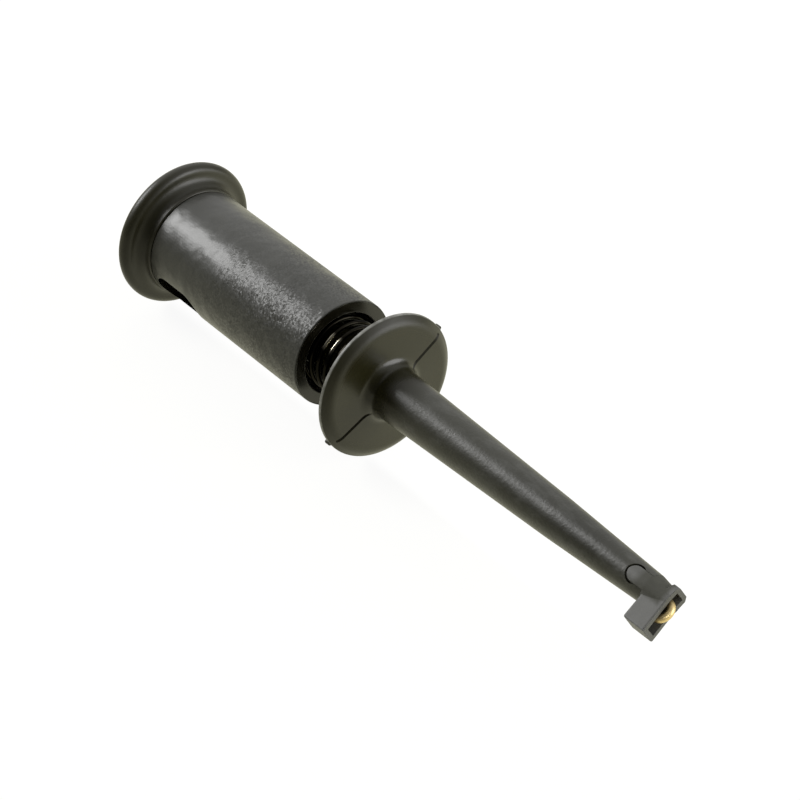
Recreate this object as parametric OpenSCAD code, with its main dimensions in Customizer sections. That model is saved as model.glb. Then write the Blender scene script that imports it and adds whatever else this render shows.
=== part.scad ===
// Spring-loaded test hook clip. Pressing the thumb cap slides the barrel along the nose and pushes
// a wire hook out of the slotted shoe at the tip. The spring pulls the hook back into the shoe.

/* [Thumb cap] */
// Diameter of the thumb flange
thumb_d = 11.3; // [10.5:0.1:14]
// Thickness of the thumb flange at its rounded rim
thumb_rim_t = 1.2; // [0.8:0.1:1.6]
// Height of the cap from its rear face to the end of the barrel
thumb_h = 2.3; // [1.8:0.1:3.5]
// Radius of the cove between the thumb flange and the collar
cove_r = 0.8; // [0.3:0.1:1.2]
// How far the cap's collar stands proud of the barrel
collar_proud = 0.08; // [0:0.01:0.2]
// Rounding of the collar's front edge, the bead beside the seam
bead_r = 0.12; // [0.05:0.01:0.2]
// Length of the cap's spigot inside the barrel
spigot_len = 1; // [0.4:0.1:1.5]
// Wall of the hollow spigot
spigot_wall = 0.6; // [0.4:0.1:1]

/* [Barrel] */
// Outer diameter of the barrel at its mouth
barrel_d = 8.4; // [7.6:0.1:9.4]
// How much smaller the barrel is at its rear end
barrel_draft = 0.1; // [0:0.05:0.3]
// Length of the barrel
barrel_len = 18; // [17:0.1:24]
// Wall of the barrel
barrel_wall = 0.95; // [0.6:0.05:1.1]
// Rounding of the mouth's edges
mouth_round = 0.12; // [0.1:0.02:0.28]
// Chamfer of the barrel's rear edge, which shows as a line beside the cap
seam_chamfer = 0.12; // [0.05:0.01:0.25]
// Thickness of the web that carries the terminal and the spring
web_t = 1.4; // [0.8:0.1:2]
// Wall of the guide hub in front of the web
hub_wall = 0.42; // [0.3:0.02:0.6]

/* [Lead slot] */
// Width of the oval slot for a test lead
lead_slot_w = 2.8; // [2:0.1:3.6]
// Length of the slot along the barrel
lead_slot_len = 4.95; // [3.8:0.05:5.4]
// Barrel left between the cap and the slot
lead_slot_setback = 0.35; // [0.3:0.05:1.2]
// Barrel left between the slot and the web
lead_slot_web_gap = 0.6; // [0.2:0.1:1.5]
// Angle of the slot round the barrel, counted from the foot
lead_slot_turn = 0; // [-30:1:30]

/* [Travel] */
// Stroke of the plunger
stroke = 4; // [3:0.1:5]
// Room left between the barrel's mouth and the finger flange at full stroke
mouth_spare = 0.55; // [0.3:0.05:1]
// Room left between the guide stem and the web at full stroke
stem_spare = 0.5; // [0.2:0.1:1]
// Length of the guide stem inside the hub at rest
guide_len = 4; // [2.5:0.1:5]

/* [Nose] */
// Diameter of the finger flange
finger_d = 11.3; // [9.5:0.1:14]
// Thickness of the finger flange at its rounded rim
finger_rim_t = 0.5; // [0.4:0.05:0.8]
// Diameter of the shoulder between the flange's rolled rim band and its flatter cone
shoulder_d = 9.4; // [8.6:0.1:9.8]
// Rise of the rim band from the rim to the shoulder
shoulder_rise = 0.36; // [0.2:0.02:0.5]
// Rounding of the shoulder
shoulder_r = 1.4; // [0.4:0.1:2]
// Rise of the flange's front face from the rim to the nose
finger_rise = 0.85; // [0.7:0.05:1.5]
// Radius of the fillet between the flange and the nose
finger_fillet = 1; // [0.4:0.1:1.4]
// Depth of the dish in the flange's rear face, where the spring sits
finger_dish = 0.3; // [0.1:0.05:0.5]
// Diameter of the two nubs on the rim, at the mould's parting plane
nub_d = 0.5; // [0.4:0.05:1]
// How far the nubs stand out of the rim
nub_out = 0.16; // [0.1:0.01:0.2]
// Diameter of the nose beside the finger flange
nose_root_d = 4; // [3.4:0.1:4.6]
// Diameter of the nose where its slimmer front stretch begins
nose_mid_d = 3.1; // [2.7:0.05:3.3]
// Diameter of the nose where the shoe begins
nose_tip_d = 2.36; // [2.1:0.02:2.6]
// Length of the nose from the flange's rear edge to the shoe
nose_len = 29.75; // [20:0.25:36]
// Length of the slimmer front stretch
nose_slim_len = 9.9; // [6:0.1:14]

/* [Shoe] */
// Length of the shoe along the nose
shoe_len = 1.97; // [1.7:0.01:2.6]
// Diameter of the shoe's tapered neck at its front end
neck_front_d = 1.72; // [1.6:0.02:2.2]
// Walls on both sides of the hook slot
shoe_wall = 0.4; // [0.25:0.05:0.5]
// Wall at the foot's outer end
foot_end_wall = 0.3; // [0.2:0.05:0.6]
// Room between the hook and the foot's outer end
foot_room = 0.6; // [0.1:0.05:0.9]
// Reach of the hook slot behind the wire, away from the foot
slot_heel = 0.76; // [0.5:0.02:0.8]
// Floor of the hook slot
slot_floor = 0.37; // [0.25:0.01:0.6]
// Slant of the foot's rear face from the nose to the foot's outer end
foot_slant = 0.35; // [0:0.05:0.6]
// Length of the heel, the short lug opposite the foot
heel_len = 0.62; // [0.4:0.02:1]
// Wall between the hook slot and the heel's outer end
heel_wall = 0.36; // [0.25:0.01:0.5]
// Chamfer of the heel's outer edges
heel_chamfer = 0.3; // [0.1:0.05:0.5]
// Chamfer of the foot's outer edges
foot_chamfer = 0.12; // [0.05:0.01:0.2]
// Width of the blade that holds the shoe in the nose
blade_w = 1.2; // [1.05:0.05:1.5]
// Length of the blade behind the shoe
blade_len = 1.8; // [1.2:0.1:3]

/* [Hook] */
// Diameter of the hook's wire
wire_d = 0.6; // [0.45:0.01:0.7]
// Distance between the middles of the hook's two legs
hook_pitch = 1.35; // [1:0.05:1.6]
// How far the hook's bend stands proud of the shoe at rest
hook_proud = 0.6; // [0.4:0.05:0.7]
// Length of the taper at the hook's free end
hook_taper = 0.2; // [0.1:0.05:0.4]

/* [Terminal] */
// Diameter of the terminal's crimp barrel and solder cup
term_d = 1.8; // [1.4:0.1:2.2]
// Diameter of the terminal's flange behind the web
term_flange_d = 2.8; // [2.5:0.1:3.6]
// Thickness of the terminal's flange
term_flange_t = 0.5; // [0.3:0.1:0.8]
// Length of the solder cup
cup_len = 2.2; // [1.5:0.1:2.8]
// Wall of the solder cup
cup_wall = 0.3; // [0.2:0.05:0.4]

/* [Spring] */
// Diameter of the spring's wire
spring_wire_d = 0.4; // [0.3:0.02:0.5]
// Number of open turns between the two closed end turns
spring_turns = 17; // [12:1:20]

/* [Clearances] */
// Radial room on both sides of the spring
spring_clear = 0.32; // [0.2:0.02:0.4]
// Radial running clearance between the hub and the guide stem
guide_clear = 0.08; // [0.03:0.01:0.1]
// Radial room round the wire in its bore and in the hook slot
wire_clear = 0.1; // [0.05:0.01:0.15]
// Radial clearance of the pieces that are pressed together
fit_clear = 0.02; // [0.01:0.005:0.04]
// Crevice round the end of the shoe's blade in the nose
blade_gap = 0.1; // [0.03:0.01:0.12]
// Gap at the ends of the spring and at the hook's free end
seat_gap = 0.03; // [0.01:0.01:0.08]

/* [Pose] */
// Angle of the foot from straight down
foot_roll = 59; // [0:1:90]

/* [Hidden] */

ROUND = 96;          // faces of a full turn
ARC = 10;            // steps of a rounded corner
SPRING_STEPS = 16;   // steps in one turn of the spring
SPRING_SIDES = 8;    // sides of the spring's wire
OVER = 0.5;          // how far a cut runs past the face it opens
RIM_SHARE = 0.48;    // rounding of a flange's rim, as a share of its thickness

// Places along the clip's axis, counted from the thumb cap's rear face
web_rear_z = thumb_h + lead_slot_setback + lead_slot_len + lead_slot_web_gap;
web_front_z = web_rear_z + web_t;
mouth_z = thumb_h + barrel_len;
stem_z = web_front_z + stroke + stem_spare;
hub_z = stem_z + guide_len;
rim_z = mouth_z + stroke + mouth_spare;
seat_z = rim_z + finger_dish;
nose_end_z = rim_z + nose_len;
shoe_front_z = nose_end_z + shoe_len;
slot_floor_z = nose_end_z + slot_floor;
total_len = shoe_front_z + hook_proud;

// Radii that follow from the barrel inwards
bore_r = barrel_d / 2 - barrel_wall;
barrel_rear_r = (barrel_d - barrel_draft) / 2;
spring_r = bore_r - spring_clear - spring_wire_d / 2;
hub_r = spring_r - spring_wire_d / 2 - spring_clear;
hub_bore_r = hub_r - hub_wall;
stem_r = hub_bore_r - guide_clear;
wire_r = wire_d / 2;
wire_bore_r = wire_r + wire_clear;
spigot_r = bore_r - fit_clear;
collar_r = barrel_rear_r + collar_proud;

// The foot and the hook
bend_r = hook_pitch / 2;
bend_z = total_len - wire_r - bend_r;
slot_w = wire_d + 2 * wire_clear;
slot_end = hook_pitch + wire_r + foot_room;
foot_reach = slot_end + foot_end_wall;
foot_t = slot_w + 2 * shoe_wall;

function unit(v) = v / norm(v);
function turned(v, angle) = [v.x * cos(angle) - v.y * sin(angle), v.x * sin(angle) + v.y * cos(angle)];

// Points of the arc of radius r that rounds the corner at p between its neighbours a and b
function rounded(a, p, b, r) =
    let (
        u = unit(a - p),
        v = unit(b - p),
        half = acos(u * v) / 2,
        centre = p + unit(u + v) * r / sin(half),
        first = p + u * r / tan(half) - centre,
        step = (180 - 2 * half) / ARC * (cross(u, v) > 0 ? -1 : 1)
    )
    [for (i = [0:ARC]) centre + turned(first, i * step)];

// Lays the clip level, which is modelled along Z with its foot towards X. The origin is the place of a
// gripped lead: on the shoe's front face, midway between the hook's two legs
module on_axis() {
    rotate([0, 90, 0])
        rotate([0, 0, -foot_roll])
            translate([-bend_r, 0, -shoe_front_z])
                children();
}

module revolved(points) {
    rotate_extrude($fn = ROUND)
        polygon(points);
}

module rod(r, from_z, to_z) {
    translate([0, 0, from_z])
        cylinder(r = r, h = to_z - from_z, $fn = ROUND);
}

// Outside of the nose with its finger flange and guide stem, up to the front of the shoe
module nose_outside() {
    stem_corner = [stem_r, stem_z];
    seat = [spring_r + spring_wire_d / 2 + spring_clear, seat_z];
    rim_rear = [finger_d / 2, rim_z];
    rim_front = rim_rear + [0, finger_rim_t];
    shoulder = [shoulder_d / 2, rim_front.y + shoulder_rise];
    root = [nose_root_d / 2, rim_front.y + finger_rise];
    slim = [nose_mid_d / 2, nose_end_z - nose_slim_len];
    rim_r = RIM_SHARE * finger_rim_t;
    revolved(concat(
        [[0, stem_z], stem_corner, [stem_r, seat_z], seat],
        rounded(seat, rim_rear, rim_front, rim_r),
        rounded(rim_rear, rim_front, shoulder, rim_r),
        rounded(rim_front, shoulder, root, shoulder_r),
        rounded(shoulder, root, slim, finger_fillet),
        [slim, [nose_tip_d / 2, nose_end_z], [neck_front_d / 2, shoe_front_z], [0, shoe_front_z]]
    ));
}

// Blade with a round rear end that crosses the nose, grown by a gap at its end and by another at its sides
module blade(end_gap, side_gap) {
    end_r = blade_w / 2 + end_gap;
    side_r = blade_w / 2 + side_gap;
    round_z = nose_end_z - blade_len + blade_w / 2;
    rotate([90, 0, 0])
        translate([0, round_z, -nose_root_d / 2])
            cylinder(r = end_r, h = nose_root_d, $fn = ROUND);
    translate([-side_r, -nose_root_d / 2, round_z])
        cube([2 * side_r, nose_root_d, nose_end_z + OVER - round_z]);
}

// Everything in front of the joint between the nose and the shoe
module front_block() {
    side = 2 * nose_root_d;
    translate([-side / 2, -side / 2, nose_end_z])
        cube([side, side, shoe_len + OVER]);
}

module nub(side) {
    translate([side * (finger_d / 2 + nub_out - nub_d / 2), 0, rim_z])
        cylinder(d = nub_d, h = finger_rim_t, $fn = ROUND);
}

module nose_body() {
    color([0.16, 0.16, 0.15])
        on_axis()
            difference() {
                union() {
                    nose_outside();
                    for (side = [-1, 1])
                        nub(side);
                }
                rod(wire_bore_r, stem_z - OVER, shoe_front_z + OVER);
                blade(blade_gap, fit_clear);
                front_block();
            }
}

// Bar from the axis to a reach on one side, as thick as the foot, with chamfered outer edges
module side_bar(reach, chamfer, from_z) {
    half = foot_t / 2;
    side = sign(reach);
    translate([0, 0, from_z])
        linear_extrude(height = shoe_front_z - from_z)
            polygon([
                [0, -half],
                [reach - side * chamfer, -half],
                [reach, -half + chamfer],
                [reach, half - chamfer],
                [reach - side * chamfer, half],
                [0, half]
            ]);
}

// Foot that reaches out to one side of the nose, with a slanted rear face
module foot() {
    root_r = nose_tip_d / 2;
    difference() {
        side_bar(foot_reach, foot_chamfer, nose_end_z);
        rotate([90, 0, 0])
            translate([0, 0, -foot_t])
                linear_extrude(height = 2 * foot_t)
                    polygon([
                        [root_r, nose_end_z],
                        [root_r, nose_end_z - OVER],
                        [foot_reach + OVER, nose_end_z - OVER],
                        [foot_reach + OVER, nose_end_z + foot_slant],
                        [foot_reach, nose_end_z + foot_slant]
                    ]);
    }
}

module hook_slot() {
    translate([-slot_heel, -slot_w / 2, slot_floor_z])
        cube([slot_heel + slot_end, slot_w, shoe_len + OVER]);
}

module tip_shoe() {
    color([0.2, 0.2, 0.19])
        on_axis()
            difference() {
                union() {
                    intersection() {
                        nose_outside();
                        union() {
                            blade(0, 0);
                            front_block();
                        }
                    }
                    foot();
                    side_bar(-slot_heel - heel_wall, heel_chamfer, shoe_front_z - heel_len);
                }
                rod(wire_bore_r, nose_end_z - blade_len - OVER, shoe_front_z + OVER);
                hook_slot();
            }
}

// Height of the spring's middle line after a number of turns
function spring_rise(turn, end_pitch, pitch) =
    turn <= 1 ? turn * end_pitch :
    turn <= 1 + spring_turns ? end_pitch + (turn - 1) * pitch :
    end_pitch + spring_turns * pitch + (turn - 1 - spring_turns) * end_pitch;

module return_spring() {
    r = spring_wire_d / 2;
    first_z = web_front_z + r + seat_gap;
    last_z = seat_z - r - seat_gap;
    end_pitch = spring_wire_d + 2 * seat_gap;
    pitch = (last_z - first_z - 2 * end_pitch) / spring_turns;
    rings = (spring_turns + 2) * SPRING_STEPS;
    points = [
        for (i = [0:rings])
            let (
                angle = 360 * i / SPRING_STEPS,
                z = first_z + spring_rise(i / SPRING_STEPS, end_pitch, pitch)
            )
            for (j = [0:SPRING_SIDES - 1])
                let (
                    side = 360 * j / SPRING_SIDES,
                    ring_r = spring_r + r * cos(side)
                )
                [ring_r * cos(angle), ring_r * sin(angle), z + r * sin(side)]
    ];
    walls = [
        for (i = [0:rings - 1])
            for (j = [0:SPRING_SIDES - 1])
                let (
                    here = i * SPRING_SIDES,
                    next = here + SPRING_SIDES,
                    k = (j + 1) % SPRING_SIDES
                )
                [here + j, here + k, next + k, next + j]
    ];
    start_cap = [for (j = [SPRING_SIDES - 1:-1:0]) j];
    end_cap = [for (j = [0:SPRING_SIDES - 1]) rings * SPRING_SIDES + j];
    color([0.3, 0.28, 0.24])
        on_axis()
            polyhedron(points, concat([start_cap], walls, [end_cap]));
}

// Oval hole through one side of the barrel's rear chamber
module lead_slot() {
    end_r = lead_slot_w / 2;
    from_z = thumb_h + lead_slot_setback + end_r;
    to_z = from_z + lead_slot_len - lead_slot_w;
    rotate([0, 0, lead_slot_turn])
        translate([0, 0, from_z]) {
            for (z = [0, to_z - from_z])
                translate([0, 0, z])
                    rotate([0, 90, 0])
                        cylinder(r = end_r, h = barrel_d, $fn = ROUND);
            translate([0, -end_r, 0])
                cube([barrel_d, lead_slot_w, to_z - from_z]);
        }
}

module plunger_barrel() {
    mouth_outer = [barrel_d / 2, mouth_z];
    mouth_inner = [bore_r, mouth_z];
    rear = [barrel_rear_r, thumb_h];
    web_hole_r = term_d / 2 + fit_clear;
    color([0.35, 0.35, 0.33])
        on_axis()
            difference() {
                revolved(concat(
                    [rear - [seam_chamfer, 0], rear + [0, seam_chamfer]],
                    rounded(rear, mouth_outer, mouth_inner, mouth_round),
                    rounded(mouth_outer, mouth_inner, [bore_r, web_front_z], mouth_round),
                    [
                        [bore_r, web_front_z],
                        [hub_r, web_front_z],
                        [hub_r, hub_z],
                        [hub_bore_r, hub_z],
                        [hub_bore_r, web_front_z],
                        [web_hole_r, web_front_z],
                        [web_hole_r, web_rear_z],
                        [bore_r, web_rear_z],
                        [bore_r, thumb_h]
                    ]
                ));
                lead_slot();
            }
}

module thumb_cap() {
    rim_rear = [thumb_d / 2, 0];
    rim_front = [thumb_d / 2, thumb_rim_t];
    valley = [collar_r, thumb_rim_t];
    collar = [collar_r, thumb_h];
    rim_r = RIM_SHARE * thumb_rim_t;
    cove_h = thumb_h - thumb_rim_t - bead_r - fit_clear;
    cove_w = thumb_d / 2 - rim_r - collar_r - fit_clear;
    cove = min(cove_r, cove_h, cove_w);
    spigot_z = thumb_h + spigot_len;
    color([0.14, 0.14, 0.12])
        on_axis()
            revolved(concat(
                [[0, 0]],
                rounded([0, 0], rim_rear, rim_front, rim_r),
                rounded(rim_rear, rim_front, valley, rim_r),
                rounded(rim_front, valley, collar, cove),
                rounded(valley, collar, [spigot_r, thumb_h], bead_r),
                [
                    [spigot_r, thumb_h],
                    [spigot_r, spigot_z],
                    [spigot_r - spigot_wall, spigot_z],
                    [spigot_r - spigot_wall, thumb_h],
                    [0, thumb_h]
                ]
            ));
}

module hook_contact() {
    leg_end_z = slot_floor_z + seat_gap;
    tip_r = wire_r / 2;
    color([0.83, 0.68, 0.36])
        on_axis() {
            rod(wire_r, web_rear_z, bend_z);
            translate([bend_r, 0, bend_z])
                rotate([90, 0, 0])
                    rotate_extrude(angle = 180, $fn = ROUND)
                        translate([bend_r, 0])
                            circle(r = wire_r, $fn = ROUND);
            translate([hook_pitch, 0, 0]) {
                rod(wire_r, leg_end_z + hook_taper, bend_z);
                translate([0, 0, leg_end_z])
                    cylinder(r1 = tip_r, r2 = wire_r, h = hook_taper, $fn = ROUND);
            }
        }
}

module hook_terminal() {
    flange_z = web_rear_z - term_flange_t;
    cup_z = flange_z - cup_len;
    term_r = term_d / 2;
    color([0.75, 0.62, 0.35])
        on_axis()
            revolved([
                [0, flange_z],
                [term_r - cup_wall, flange_z],
                [term_r - cup_wall, cup_z],
                [term_r, cup_z],
                [term_r, flange_z],
                [term_flange_d / 2, flange_z],
                [term_flange_d / 2, web_rear_z],
                [term_r, web_rear_z],
                [term_r, web_front_z],
                [wire_r + fit_clear, web_front_z],
                [wire_r + fit_clear, web_rear_z],
                [0, web_rear_z]
            ]);
}

nose_body();
tip_shoe();
return_spring();
plunger_barrel();
thumb_cap();
hook_contact();
hook_terminal();
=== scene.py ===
# %% [markdown]
# # A test hook clip, modelled piece by piece
# A test hook clip is a small hand tool: a thumb cap is pressed, a barrel slides along a plastic nose,
# and a gold wire hook comes out of a slotted shoe at the tip to catch a pin. The construction is
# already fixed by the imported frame. This lesson dresses it: every piece is modelled again with its
# real edges and finish, and then takes the place of its plain solid.

# %% Load the frame
import math

import bpy
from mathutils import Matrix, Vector


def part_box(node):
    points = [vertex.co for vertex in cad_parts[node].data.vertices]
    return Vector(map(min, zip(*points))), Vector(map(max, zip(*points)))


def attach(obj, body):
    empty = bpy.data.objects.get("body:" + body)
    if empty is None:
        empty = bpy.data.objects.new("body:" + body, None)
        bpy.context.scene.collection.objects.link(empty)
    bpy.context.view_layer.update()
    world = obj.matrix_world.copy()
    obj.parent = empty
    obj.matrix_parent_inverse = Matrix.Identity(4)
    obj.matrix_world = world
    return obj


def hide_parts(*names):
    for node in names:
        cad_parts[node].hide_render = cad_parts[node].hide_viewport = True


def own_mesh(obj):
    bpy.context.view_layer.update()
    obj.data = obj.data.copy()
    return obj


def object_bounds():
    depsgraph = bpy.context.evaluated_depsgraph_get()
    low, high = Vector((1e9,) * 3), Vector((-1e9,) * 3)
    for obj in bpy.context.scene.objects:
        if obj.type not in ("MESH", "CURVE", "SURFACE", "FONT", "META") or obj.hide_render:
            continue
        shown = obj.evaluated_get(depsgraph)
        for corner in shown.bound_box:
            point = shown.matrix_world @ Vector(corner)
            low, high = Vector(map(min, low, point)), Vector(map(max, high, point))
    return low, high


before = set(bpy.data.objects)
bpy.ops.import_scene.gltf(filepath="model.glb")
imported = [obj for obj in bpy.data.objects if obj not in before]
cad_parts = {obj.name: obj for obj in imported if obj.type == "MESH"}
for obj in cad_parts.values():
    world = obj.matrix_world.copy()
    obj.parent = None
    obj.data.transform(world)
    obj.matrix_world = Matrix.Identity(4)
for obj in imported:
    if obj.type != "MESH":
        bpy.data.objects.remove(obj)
cad_low, cad_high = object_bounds()
print("frame:", sorted(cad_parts))

# %% [markdown]
# ## One drawing for all pieces
# Nearly every piece is round, so the drawing that they share has its Z along the clip's axis, counted
# in millimetres from the rear face of the thumb cap, and its X towards the foot. Modelling in
# millimetres keeps the numbers readable. At the end, `lay_down` scales a piece to metres and lays it
# where the frame has it. The place of the axis and the side of the foot are read from the frame: the
# thumb cap's box is centred on the axis, and the origin is the grip, which lies off the axis on the
# foot's side.

# %% Place of the clip in the frame
MM = 0.001
cap_low, cap_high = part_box("thumb_cap")
AXIS = Vector((cap_low.x, (cap_low.y + cap_high.y) / 2, (cap_low.z + cap_high.z) / 2))
FOOT_ROLL = math.atan2(AXIS.y, AXIS.z)
FOOT_WAY = Vector((0, -math.sin(FOOT_ROLL), -math.cos(FOOT_ROLL)))
UPPER_WAY = Vector((0, -math.cos(FOOT_ROLL), math.sin(FOOT_ROLL)))


def along(node):
    """Rear and front end of a CAD node on the drawing, in millimetres."""
    low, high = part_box(node)
    return (low.x - AXIS.x) / MM, (high.x - AXIS.x) / MM


def radius(node):
    """Half the width of a round CAD node, in millimetres."""
    low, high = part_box(node)
    return (high.y - low.y) / 2 / MM


def only(piece):
    """Make one piece the selected and active one."""
    bpy.ops.object.select_all(action="DESELECT")
    piece.select_set(True)
    bpy.context.view_layer.objects.active = piece


def lay_down(piece):
    """Scale a finished piece to metres and lay it in the frame, with its place in its mesh."""
    only(piece)
    piece.rotation_mode = "ZYX"
    piece.rotation_euler = (0, math.pi / 2, -FOOT_ROLL)
    piece.location = AXIS
    piece.scale = (MM, MM, MM)
    bpy.ops.object.transform_apply(location=True, rotation=True, scale=True)
    piece.rotation_mode = "XYZ"
    print(piece.name, "has", len(piece.data.polygons), "faces")


print("axis at", tuple(round(v / MM, 3) for v in AXIS), "mm")
print("foot turned by", round(math.degrees(FOOT_ROLL), 2), "degrees")

# %% [markdown]
# ## A lathe
# A round piece could be stacked from cylinders, but its section is easier to read and to change when it
# is drawn as half an outline and spun. Moulded and turned parts have no knife edges, so each corner of
# the outline may carry a radius, and `softened` puts an arc there. The outline is made as by hand: a
# plane is merged to one vertex, which is extruded from point to point. The spin closes on itself, so its
# doubles are merged and its normals are turned outwards.

# %% Outline and spin
ARC_STEPS = 7
TURN_STEPS = 128
WELD = 0.0004


def softened(corners, closed):
    """Points of an outline of (radius, height, rounding) corners, with an arc at each rounded one."""
    points = []
    for i, (r, z, rounding) in enumerate(corners):
        here = Vector((r, z))
        if rounding == 0 or (not closed and i in (0, len(corners) - 1)):
            points.append(here)
            continue
        to_last = (Vector(corners[i - 1][:2]) - here).normalized()
        to_next = (Vector(corners[(i + 1) % len(corners)][:2]) - here).normalized()
        half = to_last.angle(to_next) / 2
        middle = here + (to_last + to_next).normalized() * rounding / math.sin(half)
        first = here + to_last * rounding / math.tan(half) - middle
        last = here + to_next * rounding / math.tan(half) - middle
        sweep = first.angle_signed(last)
        for step in range(ARC_STEPS + 1):
            angle = -sweep * step / ARC_STEPS
            turned = Vector((first.x * math.cos(angle) - first.y * math.sin(angle),
                             first.x * math.sin(angle) + first.y * math.cos(angle)))
            points.append(middle + turned)
    return points


def turned_piece(name, corners, closed=True):
    """Spin an outline round the clip's axis."""
    points = softened(corners, closed)
    if closed:
        points = points + points[:1]
    bpy.ops.object.select_all(action="DESELECT")
    bpy.ops.mesh.primitive_plane_add(size=1)
    piece = bpy.context.object
    piece.name = name
    bpy.ops.object.mode_set(mode="EDIT")
    bpy.ops.mesh.select_mode(type="VERT")
    bpy.ops.mesh.merge(type="CENTER")
    bpy.ops.transform.translate(value=(points[0].x, 0, points[0].y))
    for last, here in zip(points, points[1:]):
        step = (here.x - last.x, 0, here.y - last.y)
        bpy.ops.mesh.extrude_vertices_move(TRANSFORM_OT_translate={"value": step})
    bpy.ops.mesh.select_all(action="SELECT")
    bpy.ops.mesh.spin(steps=TURN_STEPS, angle=2 * math.pi, center=(0, 0, 0), axis=(0, 0, 1))
    bpy.ops.mesh.select_all(action="SELECT")
    bpy.ops.mesh.remove_doubles(threshold=WELD)
    bpy.ops.mesh.normals_make_consistent(inside=False)
    bpy.ops.object.mode_set(mode="OBJECT")
    return piece


# %% [markdown]
# ## Cutting, joining and softening
# Slots, notches and lugs are made with Boolean modifiers, applied at once, and the cutter is deleted.
# Insets and extrusions could make some of them, but not where a cut crosses the many faces of a round
# wall. A block is a cube between two corners, and its edges are bevelled later where they need it.
# `pick` enters edit mode with the parts selected that lie where a test says, which stands for clicking
# on them.

# %% Workshop helpers
def carve(piece, tool, operation="DIFFERENCE"):
    """Apply a Boolean with a tool, and throw the tool away."""
    only(piece)
    boolean = piece.modifiers.new("Carve", "BOOLEAN")
    boolean.operation = operation
    boolean.solver = "EXACT"
    boolean.object = tool
    bpy.ops.object.modifier_apply(modifier=boolean.name)
    bpy.data.objects.remove(tool)


def block(name, low, high):
    """A cube between two corners."""
    bpy.ops.object.select_all(action="DESELECT")
    low, high = Vector(low), Vector(high)
    bpy.ops.mesh.primitive_cube_add(size=1, location=(low + high) / 2)
    piece = bpy.context.object
    piece.name = name
    piece.scale = high - low
    bpy.ops.object.transform_apply(location=True, rotation=True, scale=True)
    return piece


def pick(piece, kind, test):
    """Enter edit mode with the vertices, edges or faces selected whose middle passes a test."""
    only(piece)
    bpy.ops.object.mode_set(mode="EDIT")
    bpy.ops.mesh.select_mode(type=kind)
    bpy.ops.mesh.select_all(action="DESELECT")
    bpy.ops.object.mode_set(mode="OBJECT")
    mesh = piece.data
    places = [v.co for v in mesh.vertices]
    if kind == "VERT":
        for vertex in mesh.vertices:
            vertex.select = test(vertex.co)
    if kind == "EDGE":
        for edge in mesh.edges:
            edge.select = test((places[edge.vertices[0]] + places[edge.vertices[1]]) / 2)
    if kind == "FACE":
        for face in mesh.polygons:
            face.select = test(face.center)
    bpy.ops.object.mode_set(mode="EDIT")


def smooth_shading(piece, degrees=32):
    """Shade a piece smooth, with its sharper edges left crisp."""
    only(piece)
    bpy.ops.object.shade_smooth_by_angle(angle=math.radians(degrees))


# %% [markdown]
# ## Finishes
# All the black pieces are moulded plastic, yet no two look alike: the barrel is greyed and rubbed by
# the fingers, the cap is glossy, the nose is polished on its flange and satin on its finger, and the
# shoe is dull and worn. They are mixed from the same ingredients. A cloudy noise varies the colour over
# millimetres, ramps say where a piece is rubbed, and a fine noise bends the normal, because a moulded
# skin is never optically flat. All patterns read Object coordinates, so they stay on the piece.

# %% Shader helpers
def noise(tree, place, size_mm, detail=3.0):
    """A noise whose largest features are about as wide as a size in millimetres."""
    texture = tree.nodes.new("ShaderNodeTexNoise")
    texture.inputs["Scale"].default_value = 1 / (size_mm * MM)
    texture.inputs["Detail"].default_value = detail
    texture.inputs["Roughness"].default_value = 0.55
    tree.links.new(place, texture.inputs["Vector"])
    return texture.outputs["Fac"]


def spread(tree, value, from_low, from_high, to_low, to_high):
    """Map a value from the stretch that it uses to the stretch that a socket needs."""
    mapping = tree.nodes.new("ShaderNodeMapRange")
    mapping.inputs["From Min"].default_value = from_low
    mapping.inputs["From Max"].default_value = from_high
    mapping.inputs["To Min"].default_value = to_low
    mapping.inputs["To Max"].default_value = to_high
    tree.links.new(value, mapping.inputs["Value"])
    return mapping.outputs["Result"]


def blend_colours(tree, share, first, second):
    """Mix two colours by a share."""
    mix = tree.nodes.new("ShaderNodeMix")
    mix.data_type = "RGBA"
    mix.inputs["A"].default_value = (*first, 1)
    mix.inputs["B"].default_value = (*second, 1)
    tree.links.new(share, mix.inputs["Factor"])
    return mix.outputs["Result"]


def mixed_colours(tree, share, first, second):
    """Mix two colour sockets by a share."""
    mix = tree.nodes.new("ShaderNodeMix")
    mix.data_type = "RGBA"
    tree.links.new(first, mix.inputs["A"])
    tree.links.new(second, mix.inputs["B"])
    tree.links.new(share, mix.inputs["Factor"])
    return mix.outputs["Result"]


def bump(tree, height, depth_mm, normal=None):
    """Bend the normal by a height pattern of a depth in millimetres."""
    node = tree.nodes.new("ShaderNodeBump")
    node.inputs["Strength"].default_value = 1.0
    node.inputs["Distance"].default_value = depth_mm * MM
    tree.links.new(height, node.inputs["Height"])
    if normal is not None:
        tree.links.new(normal, node.inputs["Normal"])
    return node.outputs["Normal"]


def new_finish(name):
    """An empty material, with its shader and the piece's own coordinates."""
    material = bpy.data.materials.new(name)
    material.use_nodes = True
    tree = material.node_tree
    tree.nodes.clear()
    shader = tree.nodes.new("ShaderNodeBsdfPrincipled")
    out = tree.nodes.new("ShaderNodeOutputMaterial")
    tree.links.new(shader.outputs["BSDF"], out.inputs["Surface"])
    place = tree.nodes.new("ShaderNodeTexCoord").outputs["Object"]
    return material, tree, shader, place


# %% [markdown]
# A few nodes do the sums. Numbers are multiplied, added or compared, and vectors tell how far a point
# lies from the clip's axis, in all directions or in one. With these, a finish can say where it changes
# in the drawing's own millimetres.

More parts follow.
